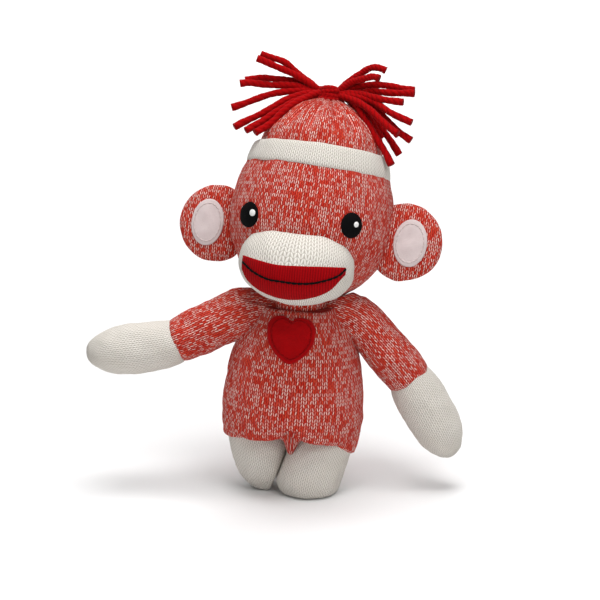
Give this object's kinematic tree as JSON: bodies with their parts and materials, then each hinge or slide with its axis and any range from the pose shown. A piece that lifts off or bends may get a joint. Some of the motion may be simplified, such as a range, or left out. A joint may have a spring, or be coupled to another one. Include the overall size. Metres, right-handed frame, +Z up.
{
  "type": "stuffed knit monkey",
  "caption": "Stuffed toy monkey in red marl knit with white hands, feet and muzzle, a knit hat with a yarn tuft, disc ears, a felt heart and a tail.",
  "frame": {"origin": "on the floor, at the centre of the toy's plan box", "axes": "+Z up, the body faces -Y, +X is towards the monkey's own left"},
  "size_m": [0.175, 0.1192, 0.2131],
  "materials": {
    "marl_knit": "matte",
    "white_knit": "matte",
    "red_knit": "matte",
    "red_felt": "matte",
    "pale_felt": "matte",
    "black_thread": "matte",
    "white_thread": "matte",
    "red_thread": "matte",
    "red_yarn": "matte",
    "polyester_fibre": "matte"
  },
  "bodies": {
    "torso": {"torso_skin": "marl_knit", "torso_stuffing": "polyester_fibre", "heart_patch": "red_felt", "heart_stitching": "red_thread"},
    "neck": {"neck_skin": "marl_knit", "neck_stuffing": "polyester_fibre"},
    "head": {"head_skin": "marl_knit", "head_stuffing": "polyester_fibre", "muzzle_skin": "white_knit", "muzzle_stuffing": "polyester_fibre", "mouth_patch": "red_knit", "smile_stitching": "black_thread", "eye_right": "black_thread", "eye_left": "black_thread", "eye_glints": "white_thread", "hat_crown": "marl_knit", "hat_band": "white_knit", "pompom_knot": "red_yarn", "pompom_yarn": "red_yarn"},
    "ear_right": {"ear_skin_right": "marl_knit", "ear_stuffing_right": "polyester_fibre", "ear_felt_right": "pale_felt", "ear_stitching_right": "white_thread"},
    "arm_right": {"sleeve_right": "marl_knit", "hand_right": "white_knit", "arm_stuffing_right": "polyester_fibre"},
    "leg_right": {"thigh_right": "marl_knit", "foot_right": "white_knit", "leg_stuffing_right": "polyester_fibre"},
    "ear_left": {"ear_skin_left": "marl_knit", "ear_stuffing_left": "polyester_fibre", "ear_felt_left": "pale_felt", "ear_stitching_left": "white_thread"},
    "arm_left": {"sleeve_left": "marl_knit", "hand_left": "white_knit", "arm_stuffing_left": "polyester_fibre"},
    "leg_left": {"thigh_left": "marl_knit", "foot_left": "white_knit", "leg_stuffing_left": "polyester_fibre"},
    "tail": {"tail_skin": "marl_knit", "tail_tip": "white_knit", "tail_stuffing": "polyester_fibre"}
  },
  "joints": [
    {"name": "neck_turn", "type": "hinge", "parent": "torso", "child": "neck", "pos_m": [0.01477, -0.02006, 0.09364], "axis": [0.0698, 0, 0.9976], "range_deg": [-35, 35], "stiffness_Nm_per_rad": 0.08},
    {"name": "neck_nod", "type": "hinge", "parent": "neck", "child": "head", "pos_m": [0.01477, -0.02006, 0.09364], "axis": [0.9759, -0.1999, -0.0879], "range_deg": [-3, 10], "stiffness_Nm_per_rad": 0.3},
    {"name": "ear_right_flex", "type": "hinge", "parent": "head", "child": "ear_right", "pos_m": [-0.01815, -0.00439, 0.12484], "axis": [0.1421, 0.2756, 0.9507], "range_deg": [-20, 20], "stiffness_Nm_per_rad": 0.004},
    {"name": "ear_left_flex", "type": "hinge", "parent": "head", "child": "ear_left", "pos_m": [0.05601, -0.01958, 0.11816], "axis": [-0.1421, -0.2756, -0.9507], "range_deg": [-20, 20], "stiffness_Nm_per_rad": 0.004},
    {"name": "arm_right_raise", "type": "hinge", "parent": "torso", "child": "arm_right", "pos_m": [-0.01589, -0.02006, 0.08375], "axis": [0, 1, 0], "range_deg": [-14, 30], "stiffness_Nm_per_rad": 0.06},
    {"name": "arm_left_raise", "type": "hinge", "parent": "torso", "child": "arm_left", "pos_m": [0.04376, -0.02006, 0.07958], "axis": [0, -1, 0], "range_deg": [-3, 55], "stiffness_Nm_per_rad": 0.06},
    {"name": "leg_right_swing", "type": "hinge", "parent": "torso", "child": "leg_right", "pos_m": [-0.00505, -0.02006, 0.03237], "axis": [-0.9272, 0, 0.3746], "range_deg": [-20, 25], "stiffness_Nm_per_rad": 0.2},
    {"name": "leg_left_swing", "type": "hinge", "parent": "torso", "child": "leg_left", "pos_m": [0.02587, -0.02006, 0.03021], "axis": [-0.9272, 0, 0.3746], "range_deg": [-25, 15], "stiffness_Nm_per_rad": 0.2},
    {"name": "tail_lift", "type": "hinge", "parent": "torso", "child": "tail", "pos_m": [0.01289, 0.00836, 0.03814], "axis": [0.9511, -0.309, 0], "range_deg": [-2, 60], "stiffness_Nm_per_rad": 0.15}
  ]
}
